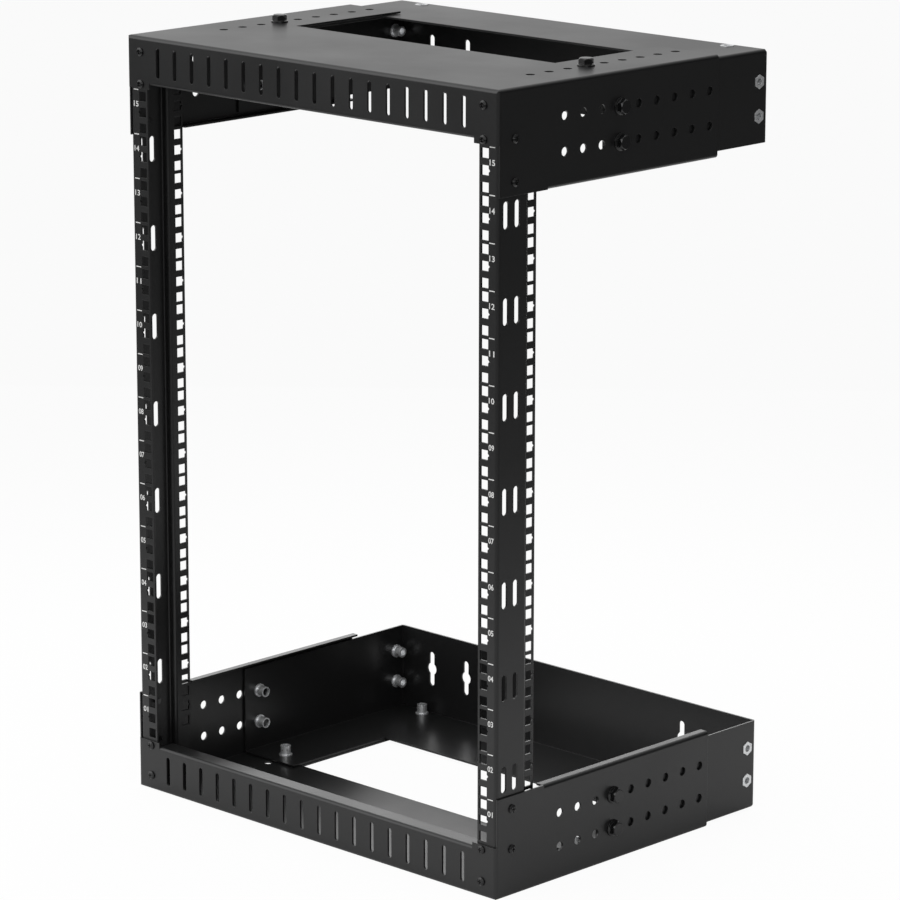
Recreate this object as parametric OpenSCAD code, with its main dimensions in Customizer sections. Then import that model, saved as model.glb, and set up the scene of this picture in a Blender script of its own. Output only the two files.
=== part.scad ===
// Two post open frame rack: two uprights, two front pans, two rear pans bolted inside them, and their fixings.
// Millimetres. X is across, Y runs back from the front, Z is up from the floor. Origin: middle of the footprint.

/* [Rack space] */
// Height of the equipment space in rack units
rack_units = 15; // [6:1:22]
// Height of one rack unit
unit_h = 44.45; // [44:0.01:45]
// Clear width between the front flanges of the posts
clear_w = 450.8; // [440:0.1:460]
// Distance from the edge of the clear width to the middle of the equipment holes
hole_inset = 7.15; // [6:0.05:9]
// Side of one square equipment hole
square_hole = 9.5; // [9:0.1:10]
// Side of the small notch on the middle hole of each unit
notch = 2.4; // [1:0.1:3]

/* [Sheet] */
// Thickness of the steel sheet
sheet = 2; // [1.5:0.1:3]
// Outside radius of a bend
bend_r = 3.5; // [2.5:0.1:4.5]
// Gap at a loose seat
seat_gap = 0.3; // [0.2:0.05:0.5]
// Gap between a front and a rear pan, held by the rims of the inserts
pan_gap = 0.6; // [0.4:0.1:0.9]

/* [Posts] */
// Width of the front flange
flange_w = 24.1; // [21:0.1:28]
// Depth of the flat web, from the front face to the jog
web_d = 40.7; // [36:0.1:46]
// How far the jog steps the rear strip inward
jog = 7.8; // [5:0.1:10]
// Full depth of a post
post_d = 59.2; // [54:0.1:66]
// Distance from the post front to the middle of the rear square holes
rear_hole_y = 52.7; // [50:0.1:58]
// Length of a web slot
web_slot_l = 26; // [16:0.5:36]
// Width of a web slot
web_slot_w = 7; // [4:0.1:8]
// Height from one pair of web slots to the next
web_slot_step = 90; // [60:1:110]
// Pairs of web slots on each post
web_slot_pairs = 7; // [1:1:9]
// Distance from the post front to the nearer column of web slots
web_slot_y = 10.4; // [8:0.1:13]
// Distance between the two columns of web slots
web_slot_gap = 15.1; // [12:0.1:18]

/* [Front pans] */
// Height from the end of the rack space to the outside of a pan
pan_over = 53.4; // [48:0.1:60]
// Depth of a front pan
front_pan_d = 304.8; // [260:0.1:340]
// Height of the front lip
lip_h = 47.7; // [40:0.1:50]
// Height of the lip at its corner tabs
tab_h = 51.7; // [48:0.1:53]
// How far a corner tab reaches past the post into the clear width
tab_over = 4.9; // [2:0.1:10]
// Height of the side flanges
side_h = 99.5; // [80:0.5:110]
// Width of the return along the lip
lip_return_w = 19; // [8:0.5:24]
// Width of the return along the side flanges
side_return_w = 10; // [7:0.5:14]
// Gap from the back of a post to the side return
post_gap = 5; // [2:0.5:12]
// Width of each arm of the plate beside its open notch
arm_w = 76; // [60:0.5:100]
// Distance from the front to the open notch in the plate
cut_front = 157; // [120:1:180]
// Slots in the front lip
lip_slots = 18; // [6:1:22]
// Distance from one lip slot to the next
lip_slot_step = 24.4; // [20:0.1:30]
// Length of a lip slot
lip_slot_l = 30; // [16:0.5:34]
// Width of a lip slot
lip_slot_w = 5; // [3:0.1:7]

/* [Rear pans] */
// Position used of the row of adjusting holes, counted from the front
depth_step = 4; // [1:1:9]
// Height of a rear pan
rear_pan_h = 91; // [80:0.1:94]
// Metal ahead of the front fixing on a rear pan
rear_pan_nose = 20; // [14:0.5:24]
// Depth of the closed strip of the rear plate
rear_strip_d = 100; // [60:1:140]
// Size of the flat on the two rear corners
corner_cut = 5; // [3:0.1:5.5]

/* [Wall keyholes] */
// Distance between the outer pair of keyholes
key_outer = 406.4; // [380:0.1:420]
// Distance between the inner pair of keyholes
key_inner = 304.8; // [260:0.1:340]
// Full height of a keyhole
key_l = 37.5; // [26:0.5:44]
// Width of the narrow slot
key_slot_w = 7.4; // [5:0.1:9]
// Diameter of the round middle
key_d = 13.4; // [11:0.1:16]

/* [Adjusting holes] */
// Holes in one adjusting row
adjust_holes = 9; // [4:1:10]
// Distance from one adjusting hole to the next
adjust_step = 25.4; // [22:0.1:28]
// Diameter of an adjusting hole
adjust_hole_d = 8.8; // [8.4:0.1:10]
// Distance from the last hole to the rear edge of a pan
edge_margin = 12.7; // [11:0.1:16]
// Height of the first side row above the outside of the plate
row_low = 33.2; // [26:0.1:36]
// Distance between the two side rows
row_gap = 33.7; // [28:0.1:38]
// Distance from the side of the rack to the plate row
plate_row_in = 44; // [34:0.5:52]

/* [Bolts and inserts] */
// Across flats of a bolt head
bolt_af = 13; // [10:0.1:14]
// Height of a bolt head over its flange
bolt_head_h = 7.6; // [5:0.1:9]
// Diameter of the bolt flange
bolt_flange_d = 17; // [15:0.1:20]
// Diameter of the bolt shank
bolt_d = 7.8; // [6:0.1:8]
// Length of the bolt below its head
bolt_l = 13; // [8:0.5:16]
// Outside diameter of an insert tube
insert_d = 10.8; // [10:0.1:12]
// Length of an insert inside the pan
insert_l = 10.5; // [7:0.1:14]
// Diameter of the insert flange
insert_flange_d = 14; // [13:0.1:17]
// Thickness of the insert flange
insert_flange_t = 1.5; // [1:0.1:2]
// Across flats of the insert hexagon
insert_af = 11; // [10:0.1:12]
// Across flats of the insert rim outside the pan
insert_rim_af = 12.6; // [12:0.1:14]
// Diameter of a corner screw head
screw_head_d = 8.6; // [7:0.1:10]
// Height of a corner screw head
screw_head_h = 2.4; // [1.5:0.1:3]
// Diameter of the corner screw shank
screw_d = 5.8; // [4:0.1:6]
// Length of the corner screw shank
screw_l = 8; // [5:0.5:12]
// Distance from the post front to the side screws
side_screw_y = 19.7; // [14:0.1:26]
// Height of the nearer side screw above the end of the rack space
side_screw_a = 6.6; // [0:0.1:12]
// Distance between the two side screws
side_screw_gap = 40; // [30:0.5:48]

/* [Colours] */
// Colour of the coated sheet
coat_colour = "#262626"; // color
// Colour of the zinc inserts
zinc_colour = "#b8bcc0"; // color
// Colour of the bolts and screws
bolt_colour = "#161616"; // color

/* [Hidden] */
rack_h = rack_units * unit_h;
total_h = rack_h + 2 * pan_over;
rack_w = clear_w + 2 * (flange_w + sheet);
column_gap = clear_w + 2 * hole_inset;
half_w = rack_w / 2;
rear_half_w = half_w - sheet - pan_gap;
rear_z = sheet + pan_gap;
cut_w = rack_w - 2 * arm_w;
plate_row_x = half_w - plate_row_in;
post_x = half_w - sheet;
adjust_first = front_pan_d - edge_margin - (adjust_holes - 1) * adjust_step;
bolt_y_off = adjust_first + (depth_step - 1) * adjust_step;
insert_span = (adjust_holes - 1) * adjust_step;
total_d = bolt_y_off + insert_span + edge_margin;
front_y = (screw_head_h - total_d) / 2;
post_y = front_y + sheet;
bolt_y = front_y + bolt_y_off;
rear_y = front_y + total_d;
rear_start = bolt_y - rear_pan_nose;
strip_x = post_x - jog;
mid_z = total_h / 2;
hole_z = [unit_h / 7, unit_h / 2, unit_h * 6 / 7];
row_z = [row_low, row_low + row_gap];
screw_hole_d = screw_d + 2 * seat_gap;
front_screw_z = [-hole_z[0], -hole_z[2]];
side_screw_z = [-side_screw_a, side_screw_gap - side_screw_a];
bolt_bore_d = bolt_d + 2 * seat_gap;
thread_bore_d = bolt_d - 1;
insert_hex_hole = insert_af + 2 * seat_gap;
corner_tilt = acos(1 / sqrt(3));
eps = 0.5;

// ---- shared shapes ----

// Turns a part made for the bottom pan into the same part at the top.
module at_top() {
  translate([0, 0, total_h]) mirror([0, 0, 1]) children();
}

// Turns a part made for the right side into the same part on the left.
module on_left() {
  mirror([1, 0, 0]) children();
}

// Square with its corners rounded, from the origin to the right and up.
module soft_square(w, h, r) {
  union() {
    translate([r, 0]) square([w - 2 * r, h]);
    translate([0, r]) square([w, h - 2 * r]);
    for (x = [r, w - r], y = [r, h - r]) translate([x, y]) circle(r = r, $fn = 48);
  }
}

// Slot with round ends, centred, its length along Y.
module slot_shape(w, l) {
  union() {
    square([w, l - w], center = true);
    for (s = [-1, 1]) translate([0, s * (l - w) / 2]) circle(d = w, $fn = 40);
  }
}

// Extrudes a shape drawn in X and Z through the sheet at a place on Y.
module through_y(y, l) {
  translate([0, y + l, 0]) rotate([90, 0, 0]) linear_extrude(l) children();
}

// Extrudes a shape drawn in Y and Z through the sheet at a place on X.
module through_x(x, l) {
  translate([x, 0, 0]) rotate([90, 0, 90]) linear_extrude(l) children();
}

// ---- posts ----

// A quarter bend of the sheet about a centre, in the quarter given by its signs.
module bend(cx, cy, sx, sy) {
  translate([cx, cy]) intersection() {
    difference() {
      circle(r = bend_r, $fn = 48);
      circle(r = bend_r - sheet, $fn = 48);
    }
    translate([sx > 0 ? 0 : -bend_r, sy > 0 ? 0 : -bend_r]) square(bend_r);
  }
}

// Section of the right post: front flange, web, inward jog and rear strip.
module post_section() {
  jog_y = web_d;
  union() {
    translate([post_x - flange_w, 0]) square([flange_w - bend_r, sheet]);
    bend(post_x - bend_r, bend_r, 1, -1);
    translate([post_x - sheet, bend_r]) square([sheet, jog_y - 2 * bend_r]);
    bend(post_x - bend_r, jog_y - bend_r, 1, 1);
    translate([strip_x - sheet + bend_r, jog_y - sheet])
      square([post_x - strip_x + sheet - 2 * bend_r, sheet]);
    bend(strip_x - sheet + bend_r, jog_y - sheet + bend_r, -1, -1);
    translate([strip_x - sheet, jog_y - sheet + bend_r])
      square([sheet, post_d - jog_y + sheet - bend_r]);
  }
}

// One square hole with its notch on the outer side, drawn at the origin.
module equipment_hole(side, notched) {
  union() {
    square(square_hole, center = true);
    if (notched) translate([side * square_hole / 2, 0]) rotate(45) square(notch, center = true);
  }
}

module right_post_shape() {
  difference() {
    translate([0, post_y, sheet]) linear_extrude(total_h - 2 * sheet) post_section();
    through_y(post_y - eps, sheet + 2 * eps)
      for (u = [0 : rack_units - 1], k = [0 : 2])
        translate([column_gap / 2, pan_over + u * unit_h + hole_z[k]]) equipment_hole(1, k == 1);
    through_x(strip_x - sheet - eps, sheet + 2 * eps)
      for (u = [0 : rack_units - 1], k = [0 : 2])
        translate([post_y + rear_hole_y, pan_over + u * unit_h + hole_z[k]]) equipment_hole(1, k == 1);
    through_x(post_x - sheet - eps, sheet + 2 * eps)
      for (p = [0 : web_slot_pairs - 1], i = [0, 1])
        translate([post_y + web_slot_y + i * web_slot_gap, mid_z + (p - (web_slot_pairs - 1) / 2) * web_slot_step])
          slot_shape(web_slot_w, web_slot_l);
    through_y(post_y - eps, sheet + 2 * eps)
      for (z = front_screw_z, top = [0, 1])
        translate([column_gap / 2, top ? total_h - pan_over - z : pan_over + z])
          circle(d = screw_hole_d, $fn = 32);
    through_x(post_x - sheet - eps, sheet + 2 * eps)
      for (z = side_screw_z, top = [0, 1])
        translate([post_y + side_screw_y, top ? total_h - pan_over - z : pan_over + z])
          circle(d = screw_hole_d, $fn = 32);
  }
}

module right_post() {
  color(coat_colour) right_post_shape();
}

module left_post() {
  color(coat_colour) on_left() right_post_shape();
}

// ---- front pans ----

// Solid block of a pan with its bends rounded: width, depth, height.
module pan_block(w, d, h, y0) {
  intersection() {
    translate([0, y0, 0]) through_y(0, d) translate([-w / 2, 0]) soft_square(w, h + 2 * bend_r, bend_r);
    translate([-w / 2, 0, 0]) through_x(0, w) translate([y0, 0]) soft_square(d + 2 * bend_r, h + 2 * bend_r, bend_r);
    translate([-w / 2, y0, 0]) linear_extrude(h) soft_square(w, d + 2 * bend_r, bend_r);
  }
}

// Section of a bend and its return from the outer corner: down by bend_r and inward by w.
module return_section(w) {
  union() {
    bend(bend_r, bend_r, -1, -1);
    translate([bend_r, 0]) square([w - bend_r, sheet]);
  }
}

module front_pan() {
  back = post_y + post_d + post_gap;
  between_tabs = clear_w - 2 * tab_over;
  difference() {
    union() {
      difference() {
        pan_block(rack_w, front_pan_d, side_h, front_y);
        // hollow
        translate([-half_w + sheet, front_y + sheet, sheet]) cube([rack_w - 2 * sheet, front_pan_d, side_h]);
        // room for the bend at the top of each side flange
        for (s = [0, 1]) mirror([s, 0, 0])
          translate([half_w - sheet - eps, back, side_h - bend_r]) cube([sheet + 2 * eps, front_pan_d, side_h]);
        // lip is lower than the side flanges, with taller corner tabs
        translate([-between_tabs / 2, front_y - eps, lip_h - bend_r])
          cube([between_tabs, sheet + 2 * eps, side_h]);
        translate([-half_w - eps, front_y - eps, tab_h]) cube([rack_w + 2 * eps, sheet + eps, side_h]);
      }
      // return along the lip
      translate([-between_tabs / 2, 0, 0]) through_x(0, between_tabs)
        translate([front_y, lip_h]) mirror([0, 1]) return_section(lip_return_w);
      // returns along the side flanges, behind the posts
      for (s = [0, 1]) mirror([s, 0, 0])
        through_y(back, front_pan_d - (back - front_y))
          translate([half_w, side_h]) mirror([1, 0]) mirror([0, 1]) return_section(side_return_w);
    }
    // open notch in the plate
    translate([-cut_w / 2, front_y + cut_front, -eps]) cube([cut_w, front_pan_d, sheet + 2 * eps]);
    // lip slots
    through_y(front_y - eps, sheet + 2 * eps)
      for (i = [0 : lip_slots - 1])
        translate([(i - (lip_slots - 1) / 2) * lip_slot_step, lip_h / 2 + 0.45]) slot_shape(lip_slot_w, lip_slot_l);
    // adjusting rows on the sides and the plate
    for (i = [0 : adjust_holes - 1]) {
      y = front_y + adjust_first + i * adjust_step;
      through_x(-half_w - eps, rack_w + 2 * eps)
        for (z = row_z) translate([y, z]) circle(d = adjust_hole_d, $fn = 40);
      for (s = [-1, 1]) translate([s * plate_row_x, y, -eps])
        cylinder(d = adjust_hole_d, h = sheet + 2 * eps, $fn = 40);
    }
    // corner screws
    through_y(front_y - eps, sheet + 2 * eps)
      for (z = front_screw_z, s = [-1, 1])
        translate([s * column_gap / 2, pan_over + z]) circle(d = screw_hole_d, $fn = 32);
    through_x(-half_w - eps, rack_w + 2 * eps)
      for (z = side_screw_z) translate([post_y + side_screw_y, pan_over + z]) circle(d = screw_hole_d, $fn = 32);
  }
}

module bottom_front_pan() {
  color(coat_colour) front_pan();
}

module top_front_pan() {
  color(coat_colour) at_top() front_pan();
}

// ---- rear pans ----

module keyhole() {
  union() {
    slot_shape(key_slot_w, key_l);
    circle(d = key_d, $fn = 48);
  }
}

module rear_pan() {
  w = 2 * rear_half_w;
  d = rear_y - rear_start;
  difference() {
    translate([0, 0, rear_z]) mirror([0, 1, 0]) pan_block(w, d, rear_pan_h, -rear_y);
    // hollow
    translate([-w / 2 + sheet, rear_start - eps, rear_z + sheet])
      cube([w - 2 * sheet, d - sheet + eps, rear_pan_h]);
    // open notch in the plate
    translate([-cut_w / 2, rear_start - eps, -eps])
      cube([cut_w, d - rear_strip_d + eps, rear_z + sheet + 2 * eps]);
    // insert seats
    for (y = [bolt_y, bolt_y + insert_span]) {
      through_x(-w / 2 - eps, w + 2 * eps)
        for (z = row_z) translate([y, z]) circle(r = insert_hex_hole / sqrt(3), $fn = 6);
      for (s = [-1, 1]) translate([s * plate_row_x, y, rear_z - eps])
        cylinder(r = insert_hex_hole / sqrt(3), h = sheet + 2 * eps, $fn = 6);
    }
    // flat on each rear corner
    for (s = [0, 1]) mirror([s, 0, 0]) translate([w / 2, rear_y, rear_z])
      rotate([0, 180 - corner_tilt, 45]) translate([-15, -15, -corner_cut / sqrt(3)]) cube([30, 30, 20]);
    // wall keyholes
    through_y(rear_y - sheet - eps, sheet + 2 * eps)
      for (x = [key_outer / 2, key_inner / 2], s = [-1, 1]) translate([s * x, pan_over]) keyhole();
  }
}

module bottom_rear_pan() {
  color(coat_colour) rear_pan();
}

module top_rear_pan() {
  color(coat_colour) at_top() rear_pan();
}

// ---- bolts ----

// Hex flange bolt: the underside of the flange is at the origin and the head points along Z.
module flange_bolt() {
  union() {
    translate([0, 0, -bolt_l]) cylinder(d = bolt_d, h = bolt_l + 0.2, $fn = 40);
    cylinder(d = bolt_flange_d, h = 1.2, $fn = 48);
    translate([0, 0, 1.2]) cylinder(d1 = bolt_flange_d, d2 = bolt_af, h = 1, $fn = 48);
    intersection() {
      translate([0, 0, 1]) cylinder(r = bolt_af / sqrt(3), h = bolt_head_h - 1, $fn = 6);
      translate([0, 0, 0.5]) cylinder(d1 = 2 * bolt_af, d2 = bolt_af - 1, h = bolt_head_h - 0.5, $fn = 48);
    }
  }
}

module side_bolts() {
  color(bolt_colour) for (z = row_z) translate([half_w, bolt_y, z]) rotate([0, 90, 0]) flange_bolt();
}

module plate_bolts() {
  color(bolt_colour)
    for (s = [-1, 1]) translate([s * plate_row_x, bolt_y, 0]) rotate([180, 0, 0]) flange_bolt();
}

module bottom_right_bolts() { side_bolts(); }
module bottom_left_bolts() { on_left() side_bolts(); }
module top_right_bolts() { at_top() side_bolts(); }
module top_left_bolts() { at_top() on_left() side_bolts(); }
module top_plate_bolts() { at_top() plate_bolts(); }

// ---- inserts ----

// Threaded insert: the outside of the sheet is at the origin and the tube points along Z.
module insert(bore_d) {
  difference() {
    union() {
      translate([0, 0, -pan_gap]) cylinder(r = insert_rim_af / sqrt(3), h = pan_gap, $fn = 6);
      cylinder(r = insert_af / sqrt(3), h = sheet + 0.2, $fn = 6);
      translate([0, 0, sheet]) cylinder(d = insert_flange_d, h = insert_flange_t, $fn = 48);
      translate([0, 0, sheet]) cylinder(d = insert_d, h = insert_l, $fn = 48);
    }
    translate([0, 0, -pan_gap - eps])
      cylinder(d = bore_d, h = pan_gap + sheet + insert_l + 2 * eps, $fn = 40);
  }
}

module side_inserts(y, bore_d) {
  color(zinc_colour)
    for (z = row_z) translate([rear_half_w, y, z]) rotate([0, -90, 0]) insert(bore_d);
}

module plate_inserts(front_bore_d) {
  color(zinc_colour) for (s = [-1, 1]) {
    translate([s * plate_row_x, bolt_y, rear_z]) insert(front_bore_d);
    translate([s * plate_row_x, bolt_y + insert_span, rear_z]) insert(thread_bore_d);
  }
}

module bottom_right_front_inserts() { side_inserts(bolt_y, bolt_bore_d); }
module bottom_right_rear_inserts() { side_inserts(bolt_y + insert_span, thread_bore_d); }
module bottom_left_front_inserts() { on_left() side_inserts(bolt_y, bolt_bore_d); }
module bottom_left_rear_inserts() { on_left() side_inserts(bolt_y + insert_span, thread_bore_d); }
module bottom_plate_inserts() { plate_inserts(thread_bore_d); }
module top_right_front_inserts() { at_top() side_inserts(bolt_y, bolt_bore_d); }
module top_right_rear_inserts() { at_top() side_inserts(bolt_y + insert_span, thread_bore_d); }
module top_left_front_inserts() { at_top() on_left() side_inserts(bolt_y, bolt_bore_d); }
module top_left_rear_inserts() { at_top() on_left() side_inserts(bolt_y + insert_span, thread_bore_d); }
module top_plate_inserts() { at_top() plate_inserts(bolt_bore_d); }

// ---- corner screws ----

// Pan head screw with a cross recess: the seat is at the origin and the head points along Z.
module corner_screw() {
  difference() {
    union() {
      translate([0, 0, -screw_l]) cylinder(d = screw_d, h = screw_l + 0.2, $fn = 32);
      cylinder(d = screw_head_d, h = screw_head_h / 2, $fn = 40);
      translate([0, 0, screw_head_h / 2])
        cylinder(d1 = screw_head_d, d2 = screw_head_d * 0.62, h = screw_head_h / 2, $fn = 40);
    }
    for (a = [0, 90]) rotate(a) translate([-screw_head_d * 0.27, -0.5, screw_head_h - 1.2])
      cube([screw_head_d * 0.54, 1, 2]);
  }
}

module front_screws() {
  color(bolt_colour)
    for (z = front_screw_z) translate([column_gap / 2, front_y, pan_over + z]) rotate([90, 0, 0]) corner_screw();
}

module side_screws() {
  color(bolt_colour)
    for (z = side_screw_z)
      translate([half_w, post_y + side_screw_y, pan_over + z]) rotate([0, 90, 0]) corner_screw();
}

module bottom_right_front_screws() { front_screws(); }
module bottom_left_front_screws() { on_left() front_screws(); }
module top_right_front_screws() { at_top() front_screws(); }
module top_left_front_screws() { at_top() on_left() front_screws(); }
module bottom_right_side_screws() { side_screws(); }
module bottom_left_side_screws() { on_left() side_screws(); }
module top_right_side_screws() { at_top() side_screws(); }
module top_left_side_screws() { at_top() on_left() side_screws(); }

left_post();
right_post();
top_front_pan();
bottom_front_pan();
top_rear_pan();
bottom_rear_pan();
top_left_bolts();
top_right_bolts();
top_plate_bolts();
bottom_left_bolts();
bottom_right_bolts();
top_left_front_inserts();
top_left_rear_inserts();
top_right_front_inserts();
top_right_rear_inserts();
top_plate_inserts();
bottom_left_front_inserts();
bottom_left_rear_inserts();
bottom_right_front_inserts();
bottom_right_rear_inserts();
bottom_plate_inserts();
top_left_front_screws();
top_left_side_screws();
top_right_front_screws();
top_right_side_screws();
bottom_left_front_screws();
bottom_left_side_screws();
bottom_right_front_screws();
bottom_right_side_screws();
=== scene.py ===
import bmesh
import bpy
import math
from mathutils import Matrix, Vector


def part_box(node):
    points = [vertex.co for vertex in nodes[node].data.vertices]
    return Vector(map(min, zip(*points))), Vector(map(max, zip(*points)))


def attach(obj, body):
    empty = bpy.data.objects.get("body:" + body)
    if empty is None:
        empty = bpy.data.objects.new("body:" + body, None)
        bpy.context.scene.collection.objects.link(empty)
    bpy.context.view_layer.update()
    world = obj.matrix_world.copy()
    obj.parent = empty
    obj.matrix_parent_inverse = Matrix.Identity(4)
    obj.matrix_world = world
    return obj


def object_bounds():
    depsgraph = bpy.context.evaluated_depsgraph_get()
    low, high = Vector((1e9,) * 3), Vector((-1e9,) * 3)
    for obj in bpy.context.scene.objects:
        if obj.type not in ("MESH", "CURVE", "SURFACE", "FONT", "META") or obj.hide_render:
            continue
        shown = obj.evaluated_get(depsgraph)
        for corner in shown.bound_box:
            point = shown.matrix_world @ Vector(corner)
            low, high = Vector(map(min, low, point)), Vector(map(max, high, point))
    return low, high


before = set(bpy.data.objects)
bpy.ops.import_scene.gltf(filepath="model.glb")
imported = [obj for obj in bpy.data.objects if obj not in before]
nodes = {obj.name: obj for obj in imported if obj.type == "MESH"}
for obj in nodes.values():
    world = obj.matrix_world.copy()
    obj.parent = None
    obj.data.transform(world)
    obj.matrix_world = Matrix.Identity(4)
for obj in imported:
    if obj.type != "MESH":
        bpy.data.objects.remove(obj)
cadLow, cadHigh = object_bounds()
mm = 0.001
edgeSamples = 6  # rays that feel for an edge at each point


# Short ways to add what the materials are wired from.
def addNode(tree, kind, at, **values):
    made = tree.nodes.new(kind)
    made.location = at
    for name, value in values.items():
        setattr(made, name, value)
    return made


def addRange(tree, at, source, target, **values):
    made = addNode(tree, "ShaderNodeMapRange", at, **values)
    made.inputs["From Min"].default_value, made.inputs["From Max"].default_value = source
    made.inputs["To Min"].default_value, made.inputs["To Max"].default_value = target
    return made


def addNoise(tree, at, place, scale, detail):
    made = addNode(tree, "ShaderNodeTexNoise", at)
    made.inputs["Scale"].default_value = scale
    made.inputs["Detail"].default_value = detail
    tree.links.new(place.outputs["Object"], made.inputs["Vector"])
    return made


def newGroup(name, inputs, outputs):
    group = bpy.data.node_groups.new(name, "ShaderNodeTree")
    for label, kind, value in inputs:
        socket = group.interface.new_socket(label, in_out="INPUT", socket_type=kind)
        socket.default_value = value
    for label, kind in outputs:
        group.interface.new_socket(label, in_out="OUTPUT", socket_type=kind)
    start = addNode(group, "NodeGroupInput", (-900, 0))
    end = addNode(group, "NodeGroupOutput", (900, 0))
    return group, start, end


coatGrain = {
    "swellDetail": 2.0,
    "swellRoughness": 0.45,
    "cloudScale": 9.0,            # slow changes of gloss to a metre
    "cloudDetail": 4.0,
    "cloudRange": (0.3, 0.7),
    "glossSwing": (-0.035, 0.035),
    "speckScale": 2600.0,         # fine specks to a metre
    "speckDetail": 1.0,
    "speckRange": (0.35, 0.7),
    "speckTone": (0.86, 1.22),    # darkest and lightest speck, as a share of the colour
}


# The skin of a baked powder coat: low swells, fine specks and slow changes of gloss.
def makeCoatSkin(grain):
    group, start, end = newGroup(
        "coatSkin",
        [
            ("Colour", "NodeSocketColor", (0.02, 0.02, 0.02, 1)),
            ("Roughness", "NodeSocketFloat", 0.35),
            ("Grain Size", "NodeSocketFloat", 1.4),
        ],
        [
            ("Colour", "NodeSocketColor"),
            ("Roughness", "NodeSocketFloat"),
            ("Height", "NodeSocketFloat"),
        ],
    )
    link = group.links.new
    place = addNode(group, "ShaderNodeTexCoord", (-900, 300))
    inverse = addNode(group, "ShaderNodeMath", (-700, -200), operation="DIVIDE")
    inverse.inputs[0].default_value = 1 / mm
    link(start.outputs["Grain Size"], inverse.inputs[1])

    swell = addNode(group, "ShaderNodeTexNoise", (-450, 250))
    swell.inputs["Detail"].default_value = grain["swellDetail"]
    swell.inputs["Roughness"].default_value = grain["swellRoughness"]
    link(place.outputs["Object"], swell.inputs["Vector"])
    link(inverse.outputs[0], swell.inputs["Scale"])
    link(swell.outputs[0], end.inputs["Height"])

    cloud = addNoise(group, (-450, 0), place, grain["cloudScale"], grain["cloudDetail"])
    change = addRange(group, (-150, -50), grain["cloudRange"], grain["glossSwing"])
    link(cloud.outputs[0], change.inputs["Value"])
    gloss = addNode(group, "ShaderNodeMath", (150, -50), operation="ADD")
    link(start.outputs["Roughness"], gloss.inputs[0])
    link(change.outputs[0], gloss.inputs[1])
    link(gloss.outputs[0], end.inputs["Roughness"])

    speck = addNoise(group, (-450, -300), place, grain["speckScale"], grain["speckDetail"])
    lift = addRange(group, (-150, -300), grain["speckRange"], grain["speckTone"])
    link(speck.outputs[0], lift.inputs["Value"])
    tint = addNode(group, "ShaderNodeMix", (150, -300), data_type="RGBA", blend_type="MULTIPLY")
    tint.inputs[0].default_value = 1.0
    link(start.outputs["Colour"], tint.inputs[6])
    link(lift.outputs[0], tint.inputs[7])
    link(tint.outputs[2], end.inputs["Colour"])
    return group


plateGrain = {
    "cloudScale": 320.0,          # patches of the plate to a metre
    "cloudDetail": 3.0,
    "glossSwing": (-0.06, 0.08),
    "fineScale": 1500.0,
    "fineDetail": 2.0,
}


# The mottled tone and fine tooth of small plated parts.
def makePlatedSkin(grain):
    group, start, end = newGroup(
        "platedSkin",
        [
            ("Colour", "NodeSocketColor", (0.6, 0.6, 0.6, 1)),
            ("Shade", "NodeSocketColor", (0.4, 0.4, 0.4, 1)),
            ("Roughness", "NodeSocketFloat", 0.25),
        ],
        [
            ("Colour", "NodeSocketColor"),
            ("Roughness", "NodeSocketFloat"),
            ("Height", "NodeSocketFloat"),
        ],
    )
    link = group.links.new
    place = addNode(group, "ShaderNodeTexCoord", (-900, 300))
    cloud = addNoise(group, (-450, 200), place, grain["cloudScale"], grain["cloudDetail"])
    blend = addNode(group, "ShaderNodeMix", (100, 200), data_type="RGBA")
    link(cloud.outputs[0], blend.inputs[0])
    link(start.outputs["Shade"], blend.inputs[6])
    link(start.outputs["Colour"], blend.inputs[7])
    link(blend.outputs[2], end.inputs["Colour"])
    change = addRange(group, (-150, -50), (0, 1), grain["glossSwing"])
    link(cloud.outputs[0], change.inputs["Value"])
    gloss = addNode(group, "ShaderNodeMath", (150, -50), operation="ADD")
    link(start.outputs["Roughness"], gloss.inputs[0])
    link(change.outputs[0], gloss.inputs[1])
    link(gloss.outputs[0], end.inputs["Roughness"])
    fine = addNoise(group, (-450, -300), place, grain["fineScale"], grain["fineDetail"])
    link(fine.outputs[0], end.inputs["Height"])
    return group


def startMaterial(name):
    made = bpy.data.materials.new(name)
    made.use_nodes = True
    tree = made.node_tree
    tree.nodes.clear()
    surface = addNode(tree, "ShaderNodeBsdfPrincipled", (300, 0))
    end = addNode(tree, "ShaderNodeOutputMaterial", (650, 0))
    tree.links.new(surface.outputs[0], end.inputs["Surface"])
    return made, tree, surface


# Rounds the light over sharp edges, then lays the skin's relief on it.
def addRelief(tree, surface, height, depth, edgeRadius):
    edge = addNode(tree, "ShaderNodeBevel", (-300, -420), samples=edgeSamples)
    edge.inputs["Radius"].default_value = edgeRadius * mm
    relief = addNode(tree, "ShaderNodeBump", (0, -300))
    relief.inputs["Strength"].default_value = 1.0
    relief.inputs["Distance"].default_value = depth * mm
    tree.links.new(height, relief.inputs["Height"])
    tree.links.new(edge.outputs[0], relief.inputs["Normal"])
    tree.links.new(relief.outputs[0], surface.inputs["Normal"])


def makeCoat(name, look):
    made, tree, surface = startMaterial(name)
    skin = addNode(tree, "ShaderNodeGroup", (-300, 0), node_tree=coatSkin)
    skin.inputs["Colour"].default_value = look["colour"]
    skin.inputs["Roughness"].default_value = look["roughness"]
    skin.inputs["Grain Size"].default_value = look["grainSize"]
    tree.links.new(skin.outputs["Colour"], surface.inputs["Base Color"])
    tree.links.new(skin.outputs["Roughness"], surface.inputs["Roughness"])
    addRelief(tree, surface, skin.outputs["Height"], look["grainDepth"], look["edgeRadius"])
    return made


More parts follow.
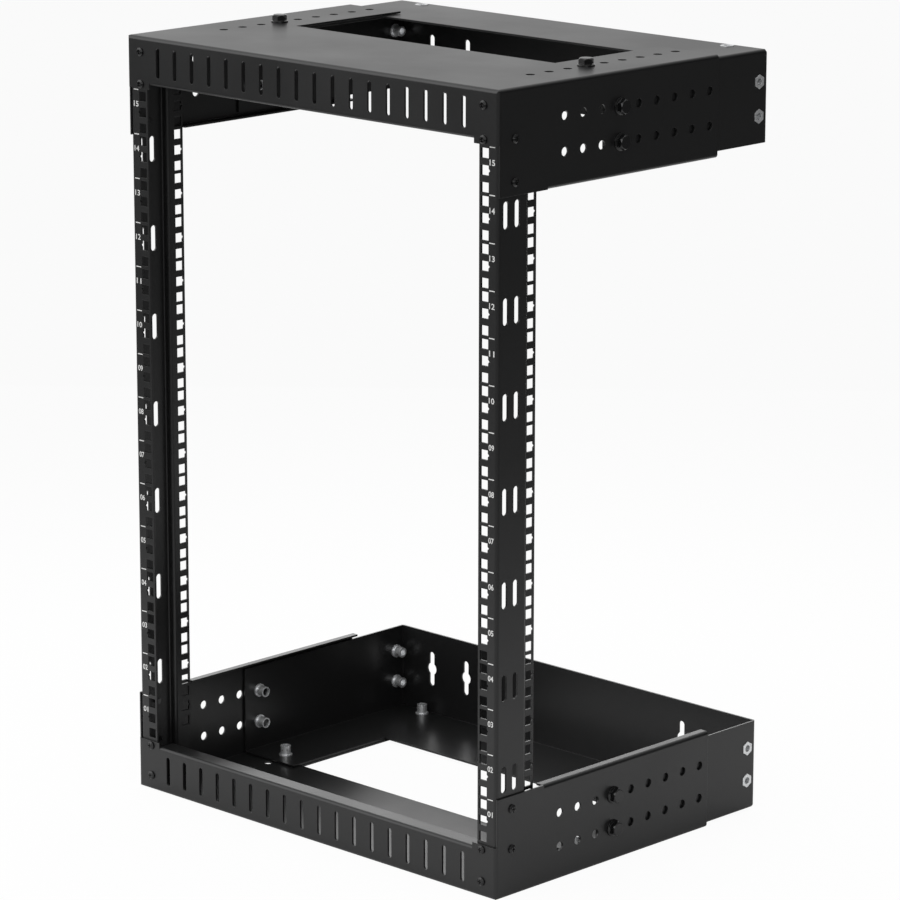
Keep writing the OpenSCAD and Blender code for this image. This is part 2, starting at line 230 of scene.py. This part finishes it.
def makePlated(name, look):
    made, tree, surface = startMaterial(name)
    skin = addNode(tree, "ShaderNodeGroup", (-300, 0), node_tree=platedSkin)
    skin.inputs["Colour"].default_value = look["colour"]
    skin.inputs["Shade"].default_value = look["shade"]
    skin.inputs["Roughness"].default_value = look["roughness"]
    surface.inputs["Metallic"].default_value = look["metallic"]
    tree.links.new(skin.outputs["Colour"], surface.inputs["Base Color"])
    tree.links.new(skin.outputs["Roughness"], surface.inputs["Roughness"])
    addRelief(tree, surface, skin.outputs["Height"], look["grainDepth"], look["edgeRadius"])
    return made


postCoat = {
    "colour": (0.0078, 0.0079, 0.0081, 1),
    "roughness": 0.34,
    "grainSize": 1.3,          # millimetres between the swells of the coat
    "grainDepth": 0.010,
    "edgeRadius": 0.45,        # millimetres, the rounding of a sheared edge under the coat
}

panCoat = {
    "colour": (0.0082, 0.0083, 0.0085, 1),
    "roughness": 0.31,
    "grainSize": 1.5,
    "grainDepth": 0.010,
    "edgeRadius": 0.6,
}

zincPlate = {
    "colour": (0.86, 0.87, 0.88, 1),
    "shade": (0.62, 0.63, 0.64, 1),
    "roughness": 0.28,
    "metallic": 0.72,          # the rest is the pale bloom of the plate
    "grainDepth": 0.004,
    "edgeRadius": 0.35,
}

blackOxide = {
    "colour": (0.004, 0.004, 0.0043, 1),
    "shade": (0.004, 0.004, 0.0043, 1),
    "roughness": 0.13,
    "metallic": 0.0,
    "grainDepth": 0.004,
    "edgeRadius": 0.35,
}

screwBlack = {
    "colour": (0.004, 0.004, 0.0043, 1),
    "shade": (0.004, 0.004, 0.0043, 1),
    "roughness": 0.12,
    "metallic": 0.0,
    "grainDepth": 0.004,
    "edgeRadius": 0.35,
}

coatSkin = makeCoatSkin(coatGrain)
platedSkin = makePlatedSkin(plateGrain)
postMaterial = makeCoat("postPowderCoat", postCoat)
panMaterial = makeCoat("panPowderCoat", panCoat)
insertMaterial = makePlated("zincPlatedSteel", zincPlate)
boltMaterial = makePlated("blackOxideSteel", blackOxide)
screwMaterial = makePlated("blackScrewSteel", screwBlack)
print("metal finishes made")

# Which finish a CAD node wears, by the end of its name.
finishes = [
    ("_post", postMaterial),
    ("_pan", panMaterial),
    ("_inserts", insertMaterial),
    ("_bolts", boltMaterial),
    ("_screws", screwMaterial),
]
for name, node in nodes.items():
    for ending, finish in finishes:
        if name.endswith(ending):
            for slot in node.material_slots:
                slot.material = finish
print("finishes laid on", len(nodes), "CAD nodes")


unitMarks = {
    "units": 15,
    "unitHeight": 44.45,
    "tickMiddle": 7.65,        # from the post's outer face in to the middle of a tick
    "tickLength": 6.9,
    "tickHeight": 1.0,
    "numberBelow": 14.3,       # from a tick down to the middle of its number
    "numberHeight": 5.6,
    "numberWidth": 6.8,
    "letterDepth": 0.01,       # as drawn, before a number is brought to its size
    "strokeGrowth": 0.016,     # thickens the strokes, in the same measure
    "curveSteps": 4,
    "inkDepth": 0.06,
    "inkColour": (0.78, 0.78, 0.77, 1),
    "inkThin": 0.8,            # share of the colour where the ink is thinnest
    "inkRoughness": 0.55,
    "inkGrainScale": 1800.0,
    "inkGrainDetail": 3.0,
    "mergeReach": 1e-7,
}


def makeInk(look):
    made, tree, surface = startMaterial("printedInk")
    place = addNode(tree, "ShaderNodeTexCoord", (-900, 0))
    thin = addNoise(tree, (-600, 0), place, look["inkGrainScale"], look["inkGrainDetail"])
    shade = addNode(tree, "ShaderNodeMix", (-200, 0), data_type="RGBA")
    shade.inputs[6].default_value = look["inkColour"]
    shade.inputs[7].default_value = [look["inkThin"] * v for v in look["inkColour"][:3]] + [1]
    tree.links.new(thin.outputs[0], shade.inputs[0])
    tree.links.new(shade.outputs[2], surface.inputs["Base Color"])
    surface.inputs["Roughness"].default_value = look["inkRoughness"]
    return made


def addTick(shape, middle, look):
    size = Vector((look["tickLength"], look["inkDepth"], look["tickHeight"])) * mm
    place = Matrix.Translation(middle) @ Matrix.Diagonal((*size, 1))
    bmesh.ops.create_cube(shape, size=1, matrix=place)


def addNumber(shape, number, middle, look):
    curve = bpy.data.curves.new("number", "FONT")
    curve.body = f"{number:02d}"
    curve.size = 1
    curve.extrude = look["letterDepth"]
    curve.offset = look["strokeGrowth"]
    curve.resolution_u = look["curveSteps"]
    words = bpy.data.objects.new("number", curve)
    bpy.context.scene.collection.objects.link(words)
    bpy.context.view_layer.update()
    flat = bpy.data.meshes.new_from_object(words.evaluated_get(bpy.context.evaluated_depsgraph_get()))
    bpy.data.objects.remove(words)
    bpy.data.curves.remove(curve)
    xs = [v.co.x for v in flat.vertices]
    ys = [v.co.y for v in flat.vertices]
    zs = [v.co.z for v in flat.vertices]
    centre = Vector(((min(xs) + max(xs)) / 2, (min(ys) + max(ys)) / 2, (min(zs) + max(zs)) / 2))
    scale = (
        look["numberWidth"] * mm / (max(xs) - min(xs)),
        look["numberHeight"] * mm / (max(ys) - min(ys)),
        look["inkDepth"] * mm / (max(zs) - min(zs)),
        1,
    )
    upright = Matrix.Rotation(math.radians(90), 4, "X")
    standing = Matrix.Translation(middle) @ upright @ Matrix.Diagonal(scale)
    flat.transform(standing @ Matrix.Translation(-centre))
    shape.from_mesh(flat)
    bpy.data.meshes.remove(flat)


def makeMarks(name, postName, side, look):
    low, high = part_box(postName)
    outer = high.x if side > 0 else low.x
    x = outer - side * look["tickMiddle"] * mm
    y = low.y - look["inkDepth"] * mm / 2
    gridBottom = (low.z + high.z) / 2 - look["units"] * look["unitHeight"] * mm / 2
    shape = bmesh.new()
    for unit in range(1, look["units"] + 1):
        top = gridBottom + unit * look["unitHeight"] * mm
        addTick(shape, Vector((x, y, top)), look)
        addNumber(shape, unit, Vector((x, y, top - look["numberBelow"] * mm)), look)
    bmesh.ops.remove_doubles(shape, verts=shape.verts, dist=look["mergeReach"])
    bmesh.ops.recalc_face_normals(shape, faces=shape.faces)
    mesh = bpy.data.meshes.new(name)
    shape.to_mesh(mesh)
    shape.free()
    mesh.materials.append(inkMaterial)
    marks = bpy.data.objects.new(name, mesh)
    bpy.context.scene.collection.objects.link(marks)
    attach(marks, "root")


inkMaterial = makeInk(unitMarks)
makeMarks("left_post_unit_marks", "left_post", -1, unitMarks)
makeMarks("right_post_unit_marks", "right_post", 1, unitMarks)
print("unit marks printed")


studio = {
    "cameraAt": (2.90408, -2.99093, 1.38130),
    "cameraTurn": 44.084,      # degrees round the upright axis
    "cameraTilt": 76.278,      # degrees up from looking straight down
    "cameraRoll": 0.066,
    "lens": 172.415,
    "sensorWidth": 36,
    "floorSize": 40.0,
    "floorColour": (0.86, 0.86, 0.86, 1),
    "floorFar": (0.16, 0.16, 0.16, 1),
    "floorFade": (0.5, 1.9),   # metres from the middle over which the one turns to the other
    "floorWhite": 0.95,        # share of plain white that the camera alone sees in the floor
    "skyFrom": (-0.62, -0.55, 0.55),  # toward the bright side, at the front left and above
    "skySpan": (-0.7, 0.6),    # along that line, where the room goes from dim to bright
    "skyBright": 1.2,
    "skyDim": 0.05,
}

lamps = [
    {"name": "keyLamp", "at": (-1.7, -2.3, 1.9), "aim": (0, 0, 0.35), "size": (2.8, 2.8), "power": 26.0},
    {"name": "topLamp", "at": (0.1, 0.4, 2.6), "aim": (0, 0, 0.3), "size": (2.0, 2.0), "power": 10.0},
    {"name": "fillLamp", "at": (2.6, -2.2, 1.9), "aim": (0, 0, 0.35), "size": (2.2, 2.2), "power": 22.0},
    {"name": "lowCard", "at": (-1.25, 1.35, 0.40), "aim": (0, 0, 0.30), "size": (2.4, 0.8), "power": 9.0},
]


def makeFloor(look):
    shape = bmesh.new()
    bmesh.ops.create_grid(shape, x_segments=1, y_segments=1, size=look["floorSize"] / 2)
    bmesh.ops.translate(shape, verts=shape.verts, vec=(0, 0, cadLow.z))
    mesh = bpy.data.meshes.new("studioFloor")
    shape.to_mesh(mesh)
    shape.free()
    floor = bpy.data.objects.new("studioFloor", mesh)
    bpy.context.scene.collection.objects.link(floor)
    made = bpy.data.materials.new("paleFloor")
    made.use_nodes = True
    tree = made.node_tree
    tree.nodes.clear()
    matt = addNode(tree, "ShaderNodeBsdfDiffuse", (0, 100))
    place = addNode(tree, "ShaderNodeTexCoord", (-1100, 0))
    reach = addNode(tree, "ShaderNodeVectorMath", (-900, 0), operation="LENGTH")
    fade = addRange(tree, (-700, 0), look["floorFade"], (0, 1), interpolation_type="SMOOTHSTEP")
    tone = addNode(tree, "ShaderNodeMix", (-400, 0), data_type="RGBA")
    tone.inputs[6].default_value = look["floorColour"]
    tone.inputs[7].default_value = look["floorFar"]
    tree.links.new(place.outputs["Object"], reach.inputs[0])
    tree.links.new(reach.outputs["Value"], fade.inputs["Value"])
    tree.links.new(fade.outputs[0], tone.inputs[0])
    tree.links.new(tone.outputs[2], matt.inputs["Color"])
    white = addNode(tree, "ShaderNodeEmission", (0, -100))
    path = addNode(tree, "ShaderNodeLightPath", (-500, 300))
    share = addNode(tree, "ShaderNodeMath", (-200, 300), operation="MULTIPLY")
    share.inputs[1].default_value = look["floorWhite"]
    blend = addNode(tree, "ShaderNodeMixShader", (300, 0))
    end = addNode(tree, "ShaderNodeOutputMaterial", (600, 0))
    tree.links.new(path.outputs["Is Camera Ray"], share.inputs[0])
    tree.links.new(share.outputs[0], blend.inputs[0])
    tree.links.new(matt.outputs[0], blend.inputs[1])
    tree.links.new(white.outputs[0], blend.inputs[2])
    tree.links.new(blend.outputs[0], end.inputs["Surface"])
    mesh.materials.append(made)


def makeSky(look):
    sky = bpy.data.worlds.new("softRoom")
    bpy.context.scene.world = sky
    sky.use_nodes = True
    tree = sky.node_tree
    tree.nodes.clear()
    place = addNode(tree, "ShaderNodeTexCoord", (-1100, 0))
    toward = addNode(tree, "ShaderNodeVectorMath", (-850, 0), operation="DOT_PRODUCT")
    toward.inputs[1].default_value = look["skyFrom"]
    tree.links.new(place.outputs["Generated"], toward.inputs[0])
    tones = (look["skyDim"], look["skyBright"])
    level = addRange(tree, (-600, 0), look["skySpan"], tones, interpolation_type="SMOOTHSTEP")
    tree.links.new(toward.outputs["Value"], level.inputs["Value"])
    path = addNode(tree, "ShaderNodeLightPath", (-600, 350))
    strength = addNode(tree, "ShaderNodeMix", (-250, 0), data_type="FLOAT")
    strength.inputs[3].default_value = 1.0
    tree.links.new(path.outputs["Is Camera Ray"], strength.inputs[0])
    tree.links.new(level.outputs[0], strength.inputs[2])
    glow = addNode(tree, "ShaderNodeBackground", (50, 0))
    tree.links.new(strength.outputs[0], glow.inputs["Strength"])
    end = addNode(tree, "ShaderNodeOutputWorld", (350, 0))
    tree.links.new(glow.outputs[0], end.inputs["Surface"])


def addLamp(look):
    light = bpy.data.lights.new(look["name"], "AREA")
    light.shape = "RECTANGLE"
    light.size, light.size_y = look["size"]
    light.energy = look["power"]
    lamp = bpy.data.objects.new(look["name"], light)
    lamp.location = look["at"]
    facing = Vector(look["aim"]) - Vector(look["at"])
    lamp.rotation_euler = facing.to_track_quat("-Z", "Y").to_euler()
    bpy.context.scene.collection.objects.link(lamp)


def makeCamera(look):
    data = bpy.data.cameras.new("camera")
    data.lens = look["lens"]
    data.sensor_width = look["sensorWidth"]
    camera = bpy.data.objects.new("camera", data)
    turn = Matrix.Rotation(math.radians(look["cameraTurn"]), 4, "Z")
    tilt = Matrix.Rotation(math.radians(look["cameraTilt"]), 4, "X")
    roll = Matrix.Rotation(math.radians(look["cameraRoll"]), 4, "Z")
    camera.matrix_world = Matrix.Translation(look["cameraAt"]) @ turn @ tilt @ roll
    bpy.context.scene.collection.objects.link(camera)
    bpy.context.scene.camera = camera


makeFloor(studio)
makeSky(studio)
for lamp in lamps:
    addLamp(lamp)
bpy.data.objects["lowCard"].visible_camera = False  # it stands behind the rack, in the camera's view
makeCamera(studio)
bpy.context.scene.view_settings.view_transform = "Standard"
print("floor, light and camera set")
